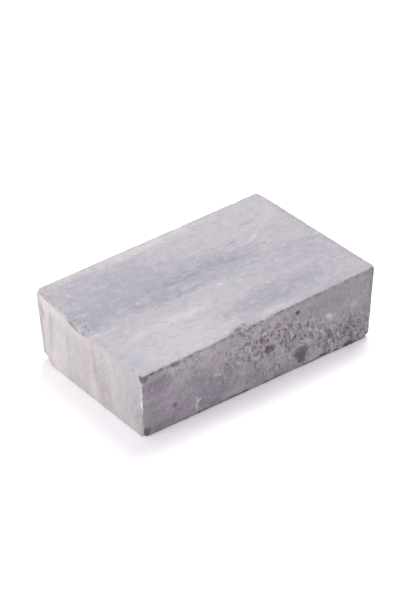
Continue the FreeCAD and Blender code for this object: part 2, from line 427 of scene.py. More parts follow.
class Graph:
    """A node tree being filled in. Inputs are given by name or number, as values or as other sockets."""

    def __init__(self, tree):
        self.tree = tree

    def fill(self, socket, value):
        """Links another socket to this one, or sets this one's own value."""
        if isinstance(value, bpy.types.NodeSocket):
            self.tree.links.new(value, socket)
        else:
            socket.default_value = value

    def add(self, kind, inputs=None, **settings):
        node = self.tree.nodes.new("ShaderNode" + kind if not kind.startswith("NodeGroup") else kind)
        for name, value in settings.items():
            setattr(node, name, value)
        for name, value in (inputs or {}).items():
            self.fill(node.inputs[name], value)
        return node

    def group(self, tree, inputs):
        """The outputs of a node group with its inputs filled in."""
        return self.add("Group", inputs, node_tree=tree).outputs

    def math(self, operation, a, b, clamp=False):
        return self.add("Math", {0: a, 1: b}, operation=operation, use_clamp=clamp).outputs[0]

    def vector(self, operation, a, b):
        return self.add("VectorMath", {0: a, 1: b}, operation=operation).outputs[0]

    def length(self, vector):
        return self.add("VectorMath", {0: vector}, operation="LENGTH").outputs["Value"]

    def scaled(self, place, factor):
        return self.add("VectorMath", {0: place, "Scale": factor}, operation="SCALE").outputs[0]

    def turned(self, place, angles):
        inputs = {"Vector": place, "Rotation": angles}
        return self.add("VectorRotate", inputs, rotation_type="EULER_XYZ").outputs[0]

    def noise(self, place, size, detail, roughness=0.6, output="Fac"):
        """Noise whose lumps have the given size, along each axis or all round."""
        cells = self.vector("DIVIDE", place, size)
        inputs = {"Vector": cells, "Scale": 1.0, "Detail": detail, "Roughness": roughness}
        return self.add("TexNoise", inputs).outputs[output]

    def stretch(self, value, low, high, to_low=0.0, to_high=1.0):
        """Maps low..high to to_low..to_high with soft ends."""
        inputs = {"Value": value, "From Min": low, "From Max": high, "To Min": to_low, "To Max": to_high}
        return self.add("MapRange", inputs, interpolation_type="SMOOTHSTEP").outputs[0]

    def blend(self, mask, under, over):
        """Lays one colour over another through a mask."""
        node = self.add("Mix", data_type="RGBA")
        sockets = {socket.identifier: socket for socket in (*node.inputs, *node.outputs)}
        for name, value in (("Factor_Float", mask), ("A_Color", under), ("B_Color", over)):
            self.fill(sockets[name], value)
        return sockets["Result_Color"]

    def wash(self, colour, value, levels, strength, shade):
        """Lays a shade over a colour, from nothing where the value is at the first level to the given
        strength where it is at the second."""
        return self.blend(self.stretch(value, *levels, to_high=strength), colour, shade)


def node_group(name, inputs, build):
    """A node group with the given inputs, {name: default}. `build` takes its graph and its input sockets, and
    gives back the sockets to put out, {name: socket}. Masks and heights are floats, places are vectors."""
    tree = bpy.data.node_groups.new(name, "ShaderNodeTree")
    for label, default in inputs.items():
        kind = "NodeSocketVector" if isinstance(default, tuple) else "NodeSocketFloat"
        tree.interface.new_socket(label, in_out="INPUT", socket_type=kind).default_value = default
    graph = Graph(tree)
    results = build(graph, graph.add("NodeGroupInput").outputs)
    for label, socket in results.items():
        kind = "NodeSocketVector" if socket.type == "VECTOR" else "NodeSocketFloat"
        tree.interface.new_socket(label, in_out="OUTPUT", socket_type=kind)
    graph.add("NodeGroupOutput", results)
    return tree


def ragged_place(graph, given):
    """Moves each place by a wandering amount, so that anything drawn with it gets a ragged outline."""
    noise = graph.noise(given["Place"], given["Size"], given["Detail"], output="Color")
    shift = graph.scaled(graph.vector("SUBTRACT", noise, MIDDLE_NOISE), given["Wander"])
    return {"Place": graph.vector("ADD", given["Place"], shift)}


def soft_lens(graph, given):
    """A turned ellipsoid with a soft, broken edge: 1 inside, 0 outside, times Strength. Break-up shifts the
    edge in and out, as a share of the ellipsoid's reach."""
    turned = graph.turned(graph.vector("SUBTRACT", given["Place"], given["Centre"]), given["Turn"])
    distance = graph.length(graph.vector("DIVIDE", turned, given["Reach"]))
    broken = graph.math("ADD", distance, given["Break-up"])
    outer = graph.math("ADD", 1.0, given["Edge"])
    inner = graph.math("SUBTRACT", 1.0, given["Edge"])
    return {"Mask": graph.math("MULTIPLY", graph.stretch(broken, outer, inner), given["Strength"])}


def beds(graph, given):
    """Streaks of the stone's beds: noise drawn out along and up the beds and thin across them."""
    return {"Streak": graph.noise(given["Place"], given["Size"], given["Detail"], given["Roughness"])}


def mineral_flecks(graph, given):
    """Scattered ragged mineral flecks: the peaks of a turned, drawn-out noise above Level. Shift picks
    another set of flecks."""
    turned = graph.turned(given["Place"], given["Turn"])
    shifted = graph.vector("ADD", turned, graph.vector("MULTIPLY", given["Size"], given["Shift"]))
    noise = graph.noise(shifted, given["Size"], detail=3.0, roughness=0.62)
    return {"Mask": graph.stretch(noise, given["Level"], graph.math("ADD", given["Level"], given["Soft"]))}


def tint_patches(graph, given):
    """Three independent masks of soft patches, for the stone's slight changes of hue."""
    noise = graph.noise(given["Place"], given["Size"], detail=4.0, roughness=0.62, output="Color")
    red, green, blue = graph.add("SeparateColor", {"Color": noise}).outputs
    channels = {"First": red, "Second": green, "Third": blue}
    return {label: graph.stretch(channel, *PATCHES) for label, channel in channels.items()}


def arris_wear_and_highlight(graph, given):
    """Broken wear and a painted highlight along the arrises: the arris value, worn through where a noise is
    high.
    """
    noise = graph.noise(given["Place"], given["Size"], detail=3.0)
    level = graph.math("ADD", given["Arris"], graph.math("SUBTRACT", noise, 1.0))
    return {"Mask": graph.math("MULTIPLY", graph.stretch(level, *WORN_AND_LIT), given["Amount"])}


def grit(graph, given):
    """Fine surface height: soft grain with small pores punched into it."""
    grain = graph.noise(given["Place"], given["Grain"], detail=4.0)
    pores = graph.stretch(graph.noise(given["Place"], given["Pore"], detail=2.0), *PORES)
    height = graph.math("SUBTRACT", grain, graph.math("MULTIPLY", pores, given["Pore depth"]))
    return {"Height": height, "Pores": pores, "Grain": grain}


def tool_marks(graph, given):
    """Fine parallel scores left by a saw or a lap: noise drawn out along the turned first axis."""
    turned = graph.turned(given["Place"], given["Turn"])
    return {"Height": graph.noise(turned, given["Size"], detail=3.0)}


def shared_groups():
    """The effects that the stone's materials share, by name."""
    place = {"Place": NOWHERE}
    trees = (
        node_group("ragged place", {**place, "Wander": 1.0, "Size": WHOLE, "Detail": 3.0}, ragged_place),
        node_group("soft lens", {
            **place, "Centre": NOWHERE, "Reach": WHOLE, "Turn": UNTURNED, "Edge": 0.3, "Break-up": 0.0,
            "Strength": 1.0,
        }, soft_lens),
        node_group("beds", {**place, "Size": WHOLE, "Detail": 4.0, "Roughness": 0.6}, beds),
        node_group("mineral flecks", {
            **place, "Size": WHOLE, "Turn": UNTURNED, "Level": 0.6, "Soft": 0.06, "Shift": 0.0,
        }, mineral_flecks),
        node_group("tint patches", {**place, "Size": WHOLE}, tint_patches),
        node_group("arris wear", {**place, "Arris": 0.0, "Size": 2.0, "Amount": 0.5}, arris_wear_and_highlight),
        node_group("grit", {**place, "Grain": 0.5, "Pore": 1.2, "Pore depth": 0.5}, grit),
        node_group("tool marks", {**place, "Turn": UNTURNED, "Size": WHOLE}, tool_marks),
    )
    return {tree.name: tree for tree in trees}


# ---------------------------------------------------------------- the stone's colours


COLOUR_DEPTH = 0.74     # share of the mixed colour's light that the dry stone gives back


def tint(red, green, blue):
    """A stone colour, given on the usual 0 to 255 scale, as a linear shader colour."""
    levels = np.array([red, green, blue]) / 255
    linear = np.where(levels <= 0.04045, levels / 12.92, ((levels + 0.055) / 1.055) ** 2.4)
    return (*(float(level) * COLOUR_DEPTH for level in linear), 1.0)


EVERYWHERE = 400.0      # reach of a lens along the axis that it ignores

# Lenses of colour lie in the stone's beds and spots lie on them, clear of the grain. Each is (first place,
# second place, first reach, second reach, turn, edge, colour, strength).
# On the top the places are x and y, on the front and back x and z, on an end y and z.
TOP_LENSES = [
    (-26, -23, 20, 9, 0, 0.5, (215, 210, 212), 0.8),
    (-18, 30.2, 38, 2.6, 0, 0.7, (224, 220, 222), 0.8),
    (40, 22, 26, 9, 0, 0.6, (205, 203, 207), 0.5),
    (-28, 13.2, 27, 14.2, -4, 0.3, (180, 178, 192), 0.88),
    (-5, 6.5, 33, 8.5, -8, 0.35, (179, 177, 190), 0.88),
    (0, 5.4, 21, 2.4, -2, 0.8, (156, 156, 170), 0.75),
    (-19, 0, 14, 1.6, -6, 0.8, (160, 159, 173), 0.65),
    (16.5, -21, 26, 6.2, 4, 0.4, (179, 177, 187), 0.88),
    (17, -21.5, 15, 3, 3, 0.7, (169, 168, 180), 0.6),
    (29, -27.5, 13, 3.5, 0, 0.7, (180, 177, 187), 0.7),
    (29, -8.5, 20, 4.5, 0, 0.7, (182, 179, 191), 0.6),
    (-41, 4.5, 7, 5.5, 0, 0.7, (172, 171, 182), 0.6),
    (50.3, 0, 2.4, 40, 0, 0.9, (182, 180, 182), 0.7),
    (-10, -15.5, 9, 1.8, 0, 0.7, (186, 187, 190), 0.6),
    (36.8, -8.2, 8, 5, 0, 0.6, (182, 179, 193), 0.75),
    (40, 9.5, 8, 4, 0, 0.7, (189, 188, 191), 0.5),
    (40, -2, 14, 1.3, -3, 0.8, (174, 173, 182), 0.6),
    (-20, -12.2, 12, 2.4, -3, 0.8, (225, 223, 226), 0.75),
    (-38, -12.5, 4.5, 2.2, 0, 0.8, (221, 219, 222), 0.6),
    (-33, 25.5, 4.5, 2.5, 30, 0.8, (196, 182, 196), 0.55),
    (-20, 26.5, 3, 2, 0, 0.8, (202, 188, 197), 0.5),
    (28, -13.5, 6, 3.5, 10, 0.8, (201, 191, 202), 0.5),
    (46, -14.2, 6, 4.8, 40, 0.8, (190, 179, 192), 0.6),
    (36, -25.5, 7, 4.5, 45, 0.7, (190, 181, 195), 0.55),
    (-47, 26.5, 4, 6.5, 0, 0.5, (192, 181, 185), 0.5),
    (-48, -24.5, 3, 4.5, 0, 0.8, (189, 191, 206), 0.6),
    (38.5, 15.5, 6, 0.9, 28, 0.9, (214, 212, 226), 0.5),
    (33.5, 19.5, 3, 1, 0, 0.9, (168, 168, 178), 0.6),
    (21, 11.5, 2.4, 0.7, 5, 0.9, (160, 151, 164), 0.7),
    (-8, -29.6, 7, 1.7, 0, 0.6, (180, 180, 193), 0.6),
    (8, -29.4, 4.5, 2.2, 0, 0.8, (214, 211, 217), 0.55),
    (-46.5, 5.5, 3.6, 6.5, 0, 0.5, (172, 171, 184), 0.8),
]
TOP_SPOTS = [
    (2.2, -5.5, 0.9, 0.5, 20, 0.9, (236, 235, 240), 0.65),
    (-40, -7.5, 1, 0.5, 0, 0.9, (228, 227, 233), 0.6),
    (16, -15, 1, 0.5, 0, 0.9, (226, 224, 231), 0.6),
    (18.4, -14.6, 0.9, 0.5, 0, 0.9, (224, 222, 229), 0.6),
    (14.6, -15.4, 0.7, 0.4, 0, 0.9, (156, 155, 164), 0.6),
    (-49.3, -3, 1, 0.6, 0, 0.9, (230, 228, 233), 0.7),
    (-45.5, 8.6, 1.1, 0.5, 0, 0.9, (216, 215, 224), 0.6),
    (-13.5, -28.8, 1, 0.5, 0, 0.9, (228, 227, 235), 0.6),
    (-9.5, -29.8, 1.3, 0.5, 10, 0.8, (122, 122, 130), 0.7),
    (-6.6, -29, 0.6, 0.5, 0, 0.9, (112, 112, 118), 0.7),
    (30, 10, 1.8, 0.7, 20, 0.9, (228, 227, 230), 0.65),
    (27, 8.6, 1.2, 0.5, 10, 0.9, (222, 220, 226), 0.5),
    (49.4, -2, 1.6, 0.6, 0, 0.9, (230, 228, 230), 0.65),
    (32.5, 4.5, 1.4, 0.5, 20, 0.9, (224, 222, 225), 0.5),
    (-33.8, 19.9, 1.1, 0.5, 10, 0.9, (212, 210, 220), 0.6),
    (-43.2, 21.8, 0.8, 0.6, 0, 0.9, (218, 216, 224), 0.6),
    (-3.5, 18.6, 1, 0.6, 20, 0.9, (222, 220, 226), 0.55),
    (19.8, -2.6, 2, 0.4, 0, 0.9, (164, 163, 172), 0.55),
    (43, -3.6, 4, 0.4, 3, 0.9, (166, 165, 172), 0.5),
    (-3, 20, 1.8, 0.8, 30, 0.9, (214, 212, 218), 0.5),
]
FRONT_LENSES = [
    (-44.5, 21.5, 6.5, 4.2, 0, 0.6, (146, 135, 149), 0.85),
    (-39, 9, 9.5, 8.5, 0, 0.6, (169, 157, 172), 0.75),
    (-45.5, 12, 4.5, 7, 0, 0.7, (166, 155, 168), 0.6),
    (-19, 8.5, 10, 6, 8, 0.5, (152, 149, 165), 0.85),
    (-32, 22, 6.5, 4.5, 20, 0.6, (189, 190, 189), 0.8),
    (-26, 14.5, 7, 4, -15, 0.6, (157, 157, 160), 0.75),
    (-16, 19, 5.5, 4.5, 0, 0.6, (200, 185, 191), 0.75),
    (-17, 26, 24, 2.2, -1, 0.8, (204, 201, 203), 0.7),
    (-12.2, 13.5, 3.2, 5, 10, 0.7, (156, 159, 158), 0.75),
    (0, 18, 14, 8, -8, 0.6, (188, 182, 187), 0.6),
    (8, 21.5, 8.5, 5, -20, 0.7, (198, 182, 189), 0.6),
    (3, 20.8, 3.2, 3.4, 0, 0.6, (128, 121, 128), 0.9),
    (5.4, 26.8, 4.6, 1.8, 0, 0.8, (212, 208, 212), 0.6),
    (8.4, 7.6, 3.4, 2.6, 0, 0.8, (208, 203, 208), 0.6),
    (24.6, 3.2, 3.4, 2.6, 0, 0.7, (224, 219, 219), 0.9),
    (34, 3, 3, 2.3, 0, 0.7, (226, 221, 222), 0.9),
    (44, 2.6, 2.4, 1.8, 0, 0.7, (204, 200, 202), 0.6),
    (-2, 6.5, 3.4, 3.4, 0, 0.7, (154, 149, 154), 0.5),
    (-42.6, 2.6, 3.6, 2.6, 0, 0.8, (140, 130, 140), 0.6),
    (-11, 2.4, 4.2, 2.2, 0, 0.7, (200, 195, 200), 0.7),
    (17.4, 12.6, 4.2, 2.6, -20, 0.7, (126, 121, 126), 0.85),
    (22.6, 22, 3, 2.6, 0, 0.7, (146, 140, 146), 0.6),
    (23.2, 17, 2.5, 2.2, 0, 0.7, (212, 207, 212), 0.8),
    (-7, 12.2, 3, 2.6, 0, 0.8, (208, 203, 208), 0.6),
    (18, 14, 14, 8, -16, 0.6, (184, 182, 184), 0.6),
    (38, 22.5, 14, 7, 0, 0.6, (180, 178, 181), 0.65),
    (38, 8, 14, 5.5, 0, 0.6, (166, 166, 168), 0.65),
    (36.4, 8, 7, 3.3, 0, 0.7, (134, 135, 137), 0.85),
    (48.5, 6.5, 3, 5, 0, 0.7, (156, 155, 158), 0.5),
    (43, 11, 3, 3, 0, 0.7, (160, 159, 176), 0.6),
    (33.5, 22.5, 3.5, 1.6, -25, 0.8, (182, 156, 170), 0.8),
    (30.4, 16.6, 2, 1.6, 0, 0.9, (222, 216, 222), 0.7),
    (42.5, 16.8, 1.8, 1.5, 0, 0.9, (212, 208, 224), 0.8),
    (-49.4, 12, 1.4, 13, 4, 0.6, (166, 168, 164), 0.8),
    (-43, 27.8, 8, 0.9, 0, 0.9, (150, 147, 152), 0.5),
    (-8, 28, 7, 0.9, 0, 0.8, (160, 160, 164), 0.5),
    # A dark line along the foot of the front: painted shade where it meets the floor, together with its
    # chipped stone.
    (0, -0.2, 60, 0.9, 0, 0.6, (112, 98, 108), 0.9),
    (50.6, 18, 1.3, 16, 2, 0.7, (150, 149, 150), 0.7),
]
FRONT_SPOTS = [
    (-0.8, 14.8, 1.3, 1, 0, 0.7, (126, 122, 128), 0.6),
    (4.3, 14.4, 2.2, 1.9, 0, 0.3, (112, 108, 114), 0.95),
    (9.2, 15.2, 0.7, 0.8, 0, 0.7, (106, 102, 108), 0.7),
    (18.6, 6.8, 3.4, 2.7, 14, 0.2, (119, 114, 120), 0.9),
    (18.9, 4.2, 2, 2.2, 0, 0.25, (117, 112, 118), 0.9),
    (16.2, 24.6, 0.9, 0.7, 20, 0.7, (80, 66, 76), 1.0),
    (-36.5, 9.2, 1, 0.9, 0, 0.8, (120, 104, 120), 0.85),
    (-27.5, 7.7, 0.45, 0.9, 24, 0.8, (226, 224, 232), 0.75),
    (-26.6, 6, 0.4, 1.1, -22, 0.8, (238, 236, 242), 0.85),
    (-27.2, 4.3, 0.45, 1, 16, 0.8, (234, 232, 239), 0.8),
    (-26.7, 2.7, 0.35, 0.9, -18, 0.8, (226, 224, 232), 0.7),
    (-25.9, 6.9, 0.7, 0.35, 30, 0.8, (210, 208, 216), 0.6),
    (-19.8, 14.4, 1.1, 0.6, 20, 0.9, (224, 221, 222), 0.8),
    (-17.6, 13.4, 0.9, 0.5, -30, 0.9, (220, 217, 218), 0.7),
    (30.2, 17.3, 1.1, 0.8, 20, 0.9, (236, 232, 236), 0.9),
    (31.7, 15.4, 0.8, 1, 20, 0.9, (222, 218, 222), 0.7),
    (-5.3, 4.3, 0.7, 0.6, 0, 0.9, (112, 108, 114), 0.6),
    (-11.4, 0.8, 1.4, 0.6, 0, 0.8, (100, 88, 98), 0.7),
    (-31.5, 0.7, 1.3, 0.5, 0, 0.8, (108, 98, 106), 0.6),
    (-50, 26.8, 1.4, 1.5, 0, 0.6, (118, 114, 120), 0.8),
    (-46.8, 27.8, 1.2, 0.5, 0, 0.7, (112, 108, 113), 0.8),
    (-43.2, 27.9, 0.8, 0.4, 0, 0.7, (112, 108, 113), 0.8),
    (-38, 28, 1.2, 0.4, 0, 0.7, (116, 112, 117), 0.8),
    (-31, 28.1, 1, 0.4, 0, 0.7, (116, 112, 117), 0.8),
    (-48.4, 2.2, 2.1, 2.5, 0, 0.5, (108, 92, 98), 0.8),
    (28.4, 0.9, 2.4, 0.9, 0, 0.6, (88, 80, 88), 0.85),
    (40.4, 0.9, 2.6, 1, 0, 0.6, (82, 74, 82), 0.95),
    (34.6, 0.6, 1.4, 0.6, 0, 0.6, (96, 88, 96), 0.75),
    (47.5, 25, 0.8, 0.4, 20, 0.9, (130, 126, 132), 0.7),
    (44.8, 21, 0.6, 0.5, 20, 0.9, (132, 124, 132), 0.6),
]
END_LENSES = [
    (29.4, 15, 1.4, EVERYWHERE, 3, 0.6, (176, 174, 173), 0.8),
    (26.2, 15, 1.5, EVERYWHERE, 3, 0.6, (220, 214, 214), 0.8),
    (22.8, 17, 0.9, 13, 1, 0.5, (172, 168, 166), 0.8),
    (17.5, 16, 4, EVERYWHERE, 0, 0.6, (211, 207, 201), 0.8),
    (12.6, 14, 0.9, 10, 0, 0.6, (176, 173, 171), 0.65),
    (7.5, 14, 3, EVERYWHERE, 0, 0.7, (195, 191, 188), 0.7),
    (0.5, 18, 4.5, 8, 0, 0.7, (199, 192, 191), 0.6),
    (-3.4, 14, 0.9, 11, -3, 0.5, (160, 152, 150), 0.75),
    (-7, 8, 4.2, 8.5, 0, 0.7, (176, 168, 166), 0.7),
    (-9, 20, 4, 7, 0, 0.7, (190, 187, 181), 0.65),
    (-13.8, 14, 1.2, EVERYWHERE, -12, 0.8, (206, 201, 202), 0.6),
    (-24, 12, 7.5, 19, 0, 0.7, (181, 176, 183), 0.8),
    (-27.8, 20, 2.6, 7, 0, 0.7, (184, 178, 183), 0.6),
    # A dark line along the foot of each end: painted shade where it meets the floor.
    (0, 0, 40, 0.7, 0, 0.8, (160, 154, 157), 0.6),
]
NEAR_END_LENSES = END_LENSES + [
    (-27.5, 8, 3.6, 9, 0, 0.7, (166, 163, 164), 0.75),
    (-16, 28.2, 12, 0.9, 0, 0.9, (190, 190, 202), 0.7),
    (25, 26.2, 6, 2.4, 0, 0.8, (232, 225, 226), 0.85),
    (4.5, 27.6, 7.5, 1.5, 3, 0.6, (174, 171, 181), 0.75),
    (10, 6.5, 5, 5, 0, 0.8, (206, 202, 200), 0.5),
    (28.8, 5, 2, 7.5, 0, 0.7, (186, 187, 182), 0.85),
    (20.5, 4.5, 4.4, 5, 0, 0.8, (228, 219, 221), 0.75),
    (12, 24.5, 14, 2.4, 0, 0.8, (220, 215, 215), 0.6),
    (-2, 4.5, 2.4, 5.5, 0, 0.8, (226, 217, 218), 0.75),
    (-23.5, 2.2, 3.5, 2.4, 0, 0.8, (208, 203, 205), 0.55),
    (17, 13.4, 6.5, 3.6, 0, 0.8, (224, 219, 216), 0.35),
    (29, 2.4, 1.8, 3.2, 0, 0.7, (174, 168, 170), 0.55),
]
NEAR_END_SPOTS = [
    # Pale pink and white glints down the near upright arris: painted highlights.
    (-30.4, 19, 0.7, 2, 6, 0.7, (230, 214, 224), 0.8),
    (-30, 15.4, 0.8, 1.3, 6, 0.7, (242, 236, 240), 0.9),
    (-29.7, 11.8, 0.6, 1.2, 6, 0.7, (220, 208, 216), 0.7),
    (-29.2, 8.6, 0.7, 3.6, 6, 0.8, (156, 151, 151), 0.6),
    (27.6, 21.4, 0.4, 1.2, -35, 0.8, (140, 133, 136), 0.8),
    (29.6, 24.6, 1.2, 1.8, 10, 0.8, (186, 180, 178), 0.6),
    (-31, 26.6, 1.5, 1.5, 0, 0.5, (102, 96, 102), 0.9),
    (-29.8, 2.4, 0.8, 1.9, 0, 0.5, (88, 78, 84), 0.9),
    (8.5, 26.2, 3.4, 0.6, 14, 0.7, (128, 124, 132), 0.8),
    (5.6, 27.6, 0.9, 0.5, 0, 0.8, (212, 210, 218), 0.7),
    (2.6, 26.2, 1.6, 0.6, -10, 0.7, (140, 136, 144), 0.65),
    (-2.6, 27.4, 0.6, 0.9, 0, 0.8, (220, 214, 217), 0.7),
    (-3.4, 26.4, 0.4, 0.8, 0, 0.8, (146, 140, 144), 0.6),
    (23.6, 28.5, 3, 0.35, -2, 0.9, (150, 134, 138), 0.8),
    (-6, 17.5, 0.5, 0.9, 20, 0.8, (160, 152, 154), 0.6),
]
FAR_END_SPOTS = [
    (-29.5, 2, 1.6, 1.5, 0, 0.6, (128, 118, 124), 0.7),
    (12, 1.2, 4, 0.9, 3, 0.8, (150, 143, 148), 0.6),
    (19, 12.5, 0.4, 1, 20, 0.9, (228, 224, 226), 0.6),
    (-16, 20.5, 0.9, 0.6, 0, 0.9, (158, 150, 156), 0.6),
]
BACK_LENSES = [
    (-30, 17, 22, 7, -4, 0.6, (182, 179, 193), 0.7),
    (14, 9, 27, 6, 3, 0.6, (184, 180, 191), 0.7),
    (34, 22, 16, 4, -2, 0.7, (212, 207, 210), 0.6),
    (-6, 24, 18, 2.5, 2, 0.7, (214, 210, 213), 0.6),
    (-22, 5, 14, 3, 2, 0.7, (206, 196, 200), 0.5),
    (2, 15.5, 30, 1, -1, 0.8, (166, 165, 178), 0.5),
    (30, 14, 8, 3, 8, 0.8, (196, 184, 194), 0.5),
]
BACK_SPOTS = [
    (-12, 11, 1.6, 0.6, 4, 0.9, (220, 217, 222), 0.6),
    (27, 19, 0.8, 0.4, -6, 0.9, (148, 142, 150), 0.6),
    (-36, 8, 1.1, 0.5, 5, 0.9, (144, 134, 141), 0.6),
]

# Finishes. Sizes are in millimetres. Flecks are (size, turn, level, colour, amounts), and their amounts are
# everywhere, on torn rock, in chips and at the arrises.
# In each finish, wear is a pale rim along the arrises: worn stone with a painted highlight.
HONED = {
    "wander": 5.0, "wander_size": (16.0, 5.0, 8.0), "break_up": 2.2, "break_size": (2.6, 1.4, 2.0),
    "bed_size": (34.0, 2.4, 30.0), "bed_contrast": 0.30,
    "dark_bed": tint(170, 169, 182), "pale_bed": tint(222, 219, 223),
    "cloud_size": (3.4, 2.4, 3.0), "mottle": 0.36,
    "pale_mottle": tint(225, 222, 225), "dark_mottle": tint(170, 168, 177),
    "patch_size": (8.0, 4.0, 6.0),
    "patches": ((tint(208, 190, 200), 0.30), (tint(196, 199, 192), 0.35), (tint(186, 187, 206), 0.28)),
    "flecks": [
        ((4.6, 2.8, 2.0), 0, 0.53, tint(217, 215, 222), (0.24, 0.0, 0.2, 0.1)),
        ((4.0, 2.2, 2.0), 0, 0.55, tint(166, 165, 175), (0.26, 0.0, 0.3, 0.2)),
        ((1.2, 1.0, 1.0), 0, 0.64, tint(232, 230, 236), (0.40, 0.0, 0.5, 0.2)),
        ((0.9, 0.8, 0.8), 0, 0.53, tint(118, 115, 122), (0.0, 0.0, 0.75, 0.5)),
    ],
    "grain": 0.6, "grain_shade": 0.16, "pale_grain": tint(232, 230, 234), "dark_grain": tint(160, 158, 166),
    "pore": 1.6, "pore_depth": 0.4, "pore_shade": 0.10, "pore_colour": tint(150, 147, 155),
    "chip": 0.45, "chip_colour": tint(166, 164, 174), "wear": 0.15, "wear_colour": tint(214, 212, 217),
    "mark_turn": (0.0, 0.0, 0.6), "mark_size": (26.0, 0.35, 6.0), "marks": 0.35,
    "relief": 0.05, "roughness": 0.72, "shine": 0.35,
}
SAWN_END = {
    "wander": 3.5, "wander_size": (8.0, 5.0, 9.0), "break_up": 1.8, "break_size": (3.0, 1.0, 3.6),
    "bed_size": (40.0, 2.2, 22.0), "bed_contrast": 0.35,
    "dark_bed": tint(184, 179, 180), "pale_bed": tint(222, 218, 217),
    "cloud_size": (3.0, 2.6, 4.0), "mottle": 0.36,
    "pale_mottle": tint(225, 221, 220), "dark_mottle": tint(178, 173, 175),
    "patch_size": (6.0, 4.0, 7.0),
    "patches": ((tint(212, 194, 198), 0.30), (tint(196, 198, 188), 0.38), (tint(192, 190, 206), 0.25)),
    "flecks": [
        ((6.0, 0.9, 4.5), 0, 0.55, tint(226, 221, 221), (0.32, 0.0, 0.2, 0.1)),
        ((6.0, 0.8, 3.6), 0, 0.56, tint(172, 166, 168), (0.28, 0.0, 0.3, 0.2)),
        ((0.9, 0.8, 1.0), 0, 0.62, tint(236, 232, 232), (0.35, 0.0, 0.5, 0.3)),
        ((0.9, 0.8, 0.9), 0, 0.54, tint(132, 126, 131), (0.0, 0.0, 0.6, 0.4)),
    ],
    "grain": 0.55, "grain_shade": 0.30, "pale_grain": tint(232, 228, 227), "dark_grain": tint(166, 160, 162),
    "pore": 1.5, "pore_depth": 0.6, "pore_shade": 0.14, "pore_colour": tint(156, 150, 153),
    "chip": 0.3, "chip_colour": tint(190, 186, 190), "wear": 0.12, "wear_colour": tint(216, 212, 213),
    "mark_turn": (0.0, 0.0, 0.0), "mark_size": (9.0, 0.6, 40.0), "marks": 0.5,
    "relief": 0.10, "roughness": 0.86, "shine": 0.25,
}
SPLIT = {
    "wander": 4.5, "wander_size": (6.0, 6.0, 5.0), "break_up": 2.4, "break_size": (1.6, 1.6, 1.6),
    "bed_size": (12.0, 6.0, 5.0), "bed_contrast": 0.45,
    "dark_bed": tint(158, 152, 162), "pale_bed": tint(205, 200, 206),
    "cloud_size": (3.4, 3.4, 3.0), "mottle": 0.78,
    "pale_mottle": tint(212, 207, 211), "dark_mottle": tint(132, 126, 134),
    "patch_size": (6.0, 6.0, 5.0),
    "patches": ((tint(188, 164, 178), 0.35), (tint(166, 172, 164), 0.45), (tint(162, 161, 184), 0.35)),
    "flecks": [
        ((2.6, 2.6, 3.0), 20, 0.54, tint(116, 113, 118), (0.12, 0.55, 0.3, 0.3)),
        ((1.6, 1.6, 2.6), 20, 0.55, tint(208, 180, 193), (0.08, 0.48, 0.0, 0.0)),
        ((1.4, 1.4, 3.0), 18, 0.54, tint(94, 90, 97), (0.05, 0.80, 0.6, 0.55)),
        ((1.3, 1.3, 2.5), 18, 0.56, tint(228, 222, 226), (0.08, 0.75, 0.5, 0.1)),
    ],
    "grain": 0.65, "grain_shade": 0.29, "pale_grain": tint(214, 209, 213), "dark_grain": tint(128, 123, 130),
    "pore": 1.3, "pore_depth": 0.8, "pore_shade": 0.25, "pore_colour": tint(122, 116, 124),
    # Painted shade in the gaps between the torn crests, and painted light on the crests.
    "gap": 0.50, "gap_colour": tint(112, 107, 113), "crest": 0.43, "crest_colour": tint(216, 211, 216),
    "chip": 0.5, "chip_colour": tint(150, 146, 154), "wear": 0.15, "wear_colour": tint(204, 200, 205),
    "mark_turn": (0.0, 0.0, 0.0), "mark_size": (6.0, 6.0, 6.0), "marks": 0.3,
    "relief": 0.22, "roughness": 0.92, "shine": 0.2,
}
# The back is sawn along the beds, so its streaks, saw marks and two sets of long flecks run with its length.
SAWN_BACK = {
    **SAWN_END, "wander": 5.0, "wander_size": (14.0, 6.0, 7.0),
    "bed_size": (38.0, 4.0, 10.0), "dark_bed": tint(170, 166, 178), "pale_bed": tint(212, 208, 214),
    "flecks": [
        *(((5.0, 3.0, 1.0), *fleck[1:]) for fleck in SAWN_END["flecks"][:2]), *SAWN_END["flecks"][2:],
    ],
    "mark_size": (30.0, 6.0, 0.6),
}


def face_axes(face):
    """For a kind of face: the two axes that its lens places are on, and the axis that its lenses turn on."""
    return {"top": (0, 1, 2), "front": (0, 2, 1), "end": (1, 2, 0)}[face]


def turn_about(face, turn):
    """A turn in degrees about the axis that a kind of face looks along, as three angles."""
    angles = [0.0] * 3
    angles[face_axes(face)[2]] = math.radians(turn)
    return angles


def lens_inputs(face, lens):
    """Where a lens lies, how far it reaches and how it is turned, as three-way values for its face."""
    first, second, _ = face_axes(face)
    a, b, reach_a, reach_b, turn, edge, _, strength = lens
    centre, reach = [0.0] * 3, [EVERYWHERE] * 3
    centre[first], centre[second] = a, b
    reach[first], reach[second] = reach_a, reach_b
    turning = turn_about(face, turn if face == "front" else -turn)
    return {"Centre": centre, "Reach": reach, "Turn": turning, "Edge": edge, "Strength": strength}


